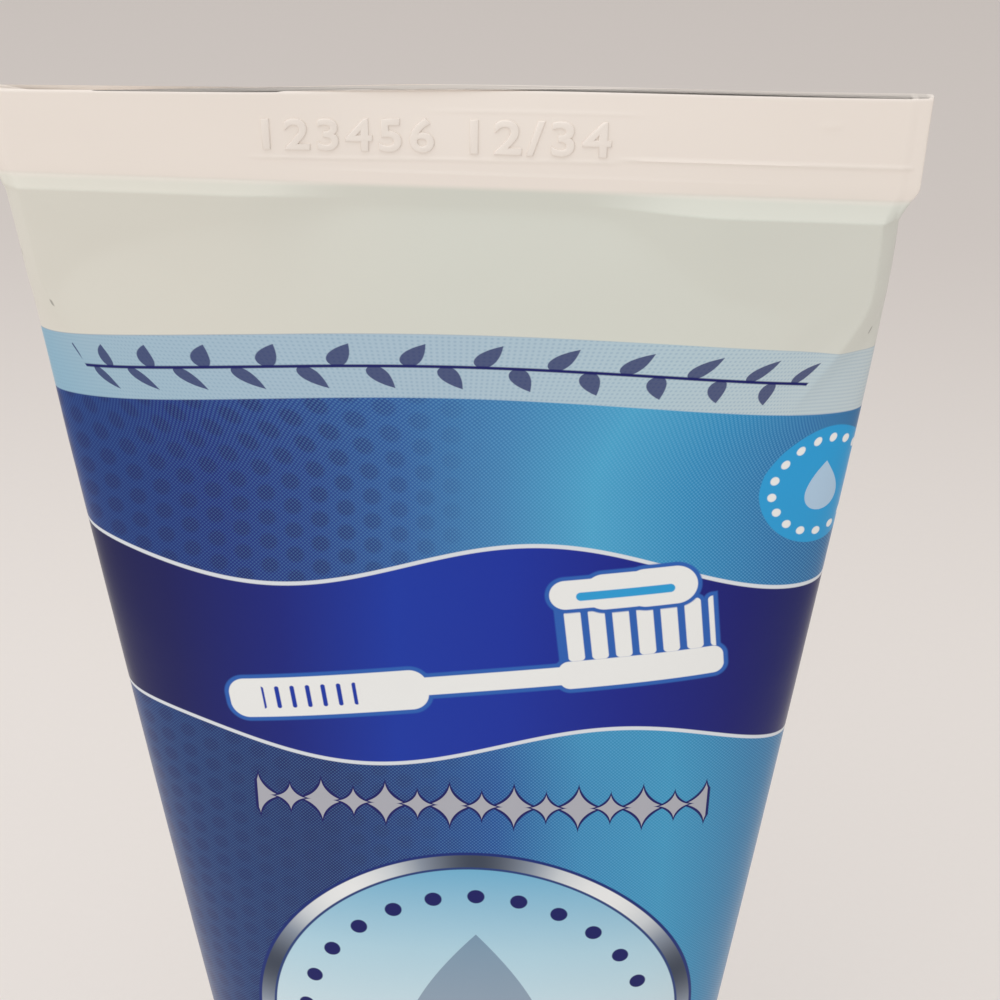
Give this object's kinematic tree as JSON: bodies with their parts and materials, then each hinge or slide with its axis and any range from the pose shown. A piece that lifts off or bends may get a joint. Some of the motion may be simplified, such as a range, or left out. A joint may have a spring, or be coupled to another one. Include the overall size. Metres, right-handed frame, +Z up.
{
  "type": "toothpaste tube",
  "caption": "Stand-up toothpaste tube: a soft printed sleeve, round at the shoulder and sealed flat by a crimp, on a hinged flip-top cap that it stands on.",
  "frame": {"origin": "centre of the lid's flat outer face, on which the tube stands", "axes": "+Z up the tube to the crimp, the printed front faces -Y, the lid's hinge is at +Y"},
  "size_m": [0.0558, 0.0355, 0.1469],
  "materials": {
    "printed_laminate": "gloss",
    "white_polyethylene": "satin",
    "paste": "satin",
    "white_polypropylene": "satin"
  },
  "bodies": {
    "tube": {"sleeve": "printed_laminate", "shoulder": "white_polyethylene", "paste": "paste", "cap_base": "white_polypropylene"},
    "lid": {"lid": "white_polypropylene"}
  },
  "joints": [
    {"name": "lid_hinge", "type": "hinge", "parent": "tube", "child": "lid", "pos_m": [0, 0.0179, 0.00915], "axis": [1, 0, 0], "range_deg": [0, 135]}
  ]
}
